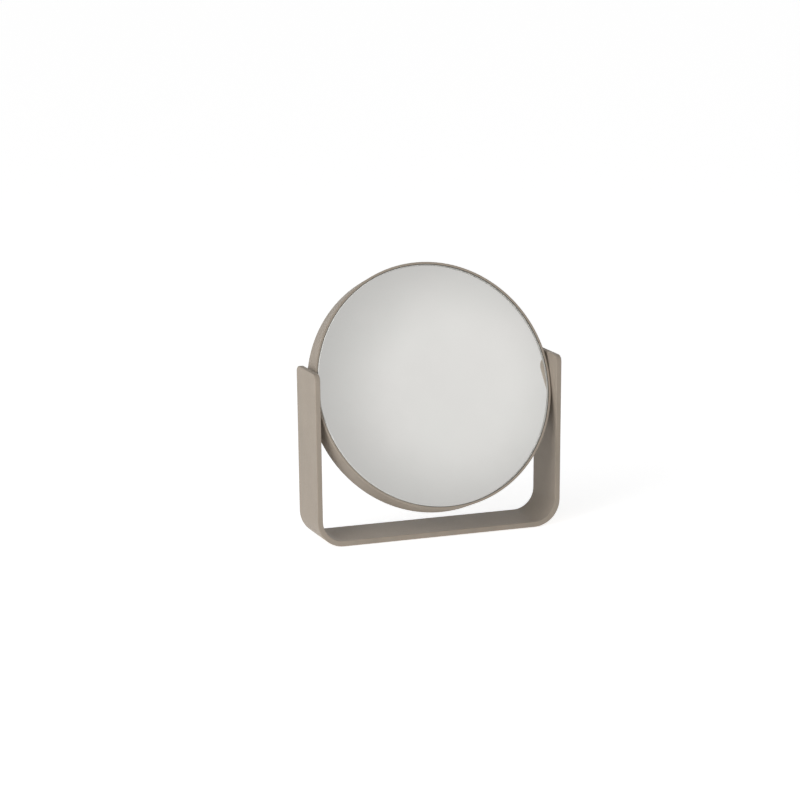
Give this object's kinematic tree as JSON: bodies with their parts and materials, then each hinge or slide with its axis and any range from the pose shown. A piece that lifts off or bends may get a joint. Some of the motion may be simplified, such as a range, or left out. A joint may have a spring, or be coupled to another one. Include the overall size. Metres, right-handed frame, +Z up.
{
  "type": "two-sided table mirror",
  "caption": "Round two-sided table mirror that turns on side pivots in a U-shaped flat-bar stand, flat glass in front and magnifying glass behind.",
  "frame": {"origin": "middle of the stand, on the surface that its foot pads rest on", "axes": "+Z up; the flat mirror faces -Y, tilted 20 degrees upwards at rest; +X to the right, along the pivot axis"},
  "size_m": [0.1918, 0.081, 0.1978],
  "materials": {
    "taupe_coating": "matt fine-textured taupe powder coat",
    "mirror_glass": "back-silvered glass with a ground edge",
    "carrier_plastic": "moulded black plastic",
    "foam_tape": "white foam tape",
    "hardware_steel": "zinc-plated steel",
    "bush_plastic": "natural acetal",
    "pad_rubber": "matt dark rubber"
  },
  "bodies": {
    "stand": {"stand_frame": "taupe_coating", "foot_pad_front_left": "pad_rubber", "foot_pad_front_right": "pad_rubber", "foot_pad_rear_left": "pad_rubber", "foot_pad_rear_right": "pad_rubber", "pivot_screw_left": "hardware_steel", "pivot_screw_right": "hardware_steel", "friction_washer_left": "bush_plastic", "friction_washer_right": "bush_plastic", "disc_spring_left": "hardware_steel", "disc_spring_right": "hardware_steel", "thrust_washer_left": "hardware_steel", "thrust_washer_right": "hardware_steel"},
    "mirror": {"mirror_ring": "taupe_coating", "front_carrier": "carrier_plastic", "rear_carrier": "carrier_plastic", "pivot_bush_left": "bush_plastic", "pivot_bush_right": "bush_plastic", "flat_mirror_glass": "mirror_glass", "flat_glass_tape": "foam_tape", "magnifying_mirror_glass": "mirror_glass", "magnifying_glass_tape": "foam_tape", "carrier_screw_1": "hardware_steel", "carrier_screw_2": "hardware_steel", "carrier_screw_3": "hardware_steel", "carrier_screw_4": "hardware_steel", "carrier_screw_5": "hardware_steel", "carrier_screw_6": "hardware_steel"}
  },
  "joints": [
    {"name": "mirror_tilt", "type": "hinge", "parent": "stand", "child": "mirror", "pos_m": [0, 0, 0.1088], "axis": [1, 0, 0], "continuous": true}
  ]
}
